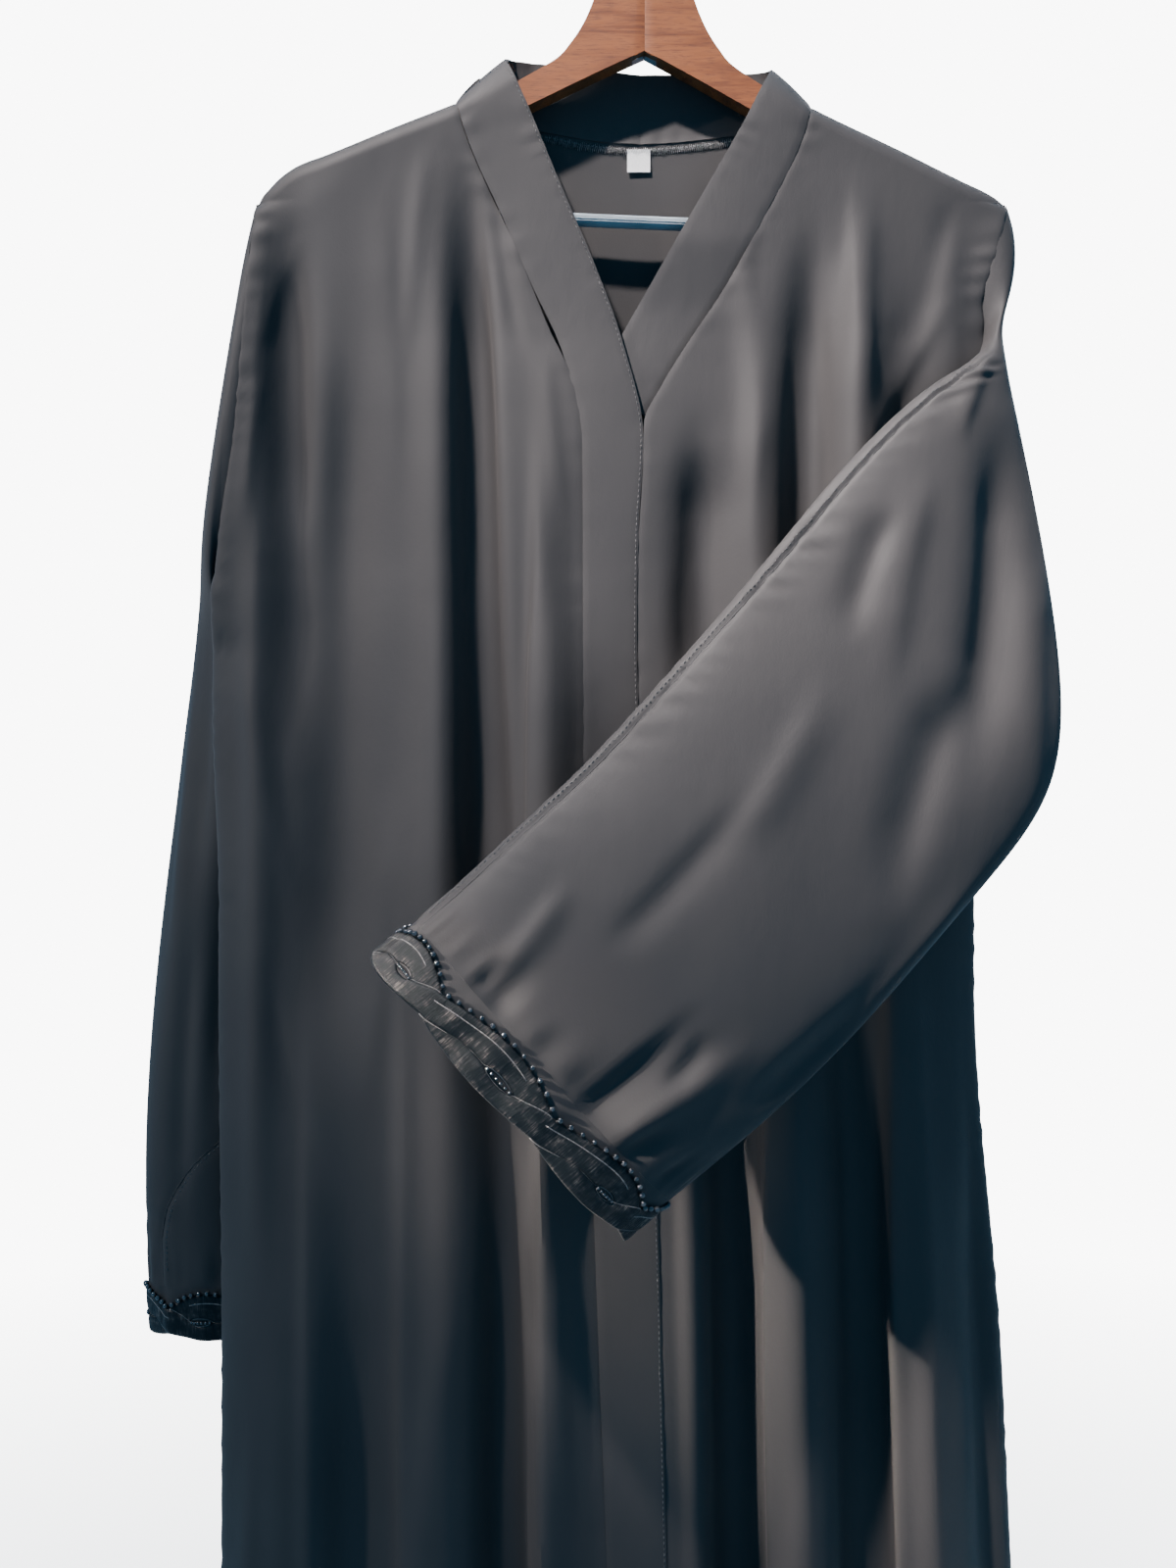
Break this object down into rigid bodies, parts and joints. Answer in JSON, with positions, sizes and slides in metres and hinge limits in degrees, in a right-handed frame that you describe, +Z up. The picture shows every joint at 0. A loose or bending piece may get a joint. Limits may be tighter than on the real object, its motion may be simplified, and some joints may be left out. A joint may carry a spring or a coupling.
{
  "type": "abaya cloak on a wooden hanger",
  "caption": "Long black open-front abaya cloak with stand neckband, placket, wide sleeves and scalloped beaded cuffs, hung on a wooden hanger, one sleeve drawn across the front",
  "frame": {"origin": "the point inside the top of the hook's loop that bears on a rail", "axes": "+X to the viewer's right (the wearer's left), +Y away from the viewer toward the garment's back, +Z up"},
  "size_m": [0.5603, 0.2727, 1.5284],
  "materials": {
    "crepe": "black fine crepe with a soft satin sheen",
    "satin_trim": "black satin-stitched trim with black glass beads",
    "white_tab": "white woven tab, bare",
    "wood": "reddish-brown satin varnish",
    "ribbed_bar": "dark grey-blue ribbed non-slip sleeve",
    "steel": "bright plated wire"
  },
  "bodies": {
    "root": {"front_right": "crepe", "front_left": "crepe", "back": "crepe", "sleeve_right": "crepe", "sleeve_left": "crepe", "neckband_right": "crepe", "neckband_left": "crepe", "cuff_right": "satin_trim", "cuff_left": "satin_trim", "size_label": "white_tab", "hanger_right": "wood", "hanger_left": "wood", "trouser_bar": "ribbed_bar", "hook": "steel"}
  },
  "joints": []
}
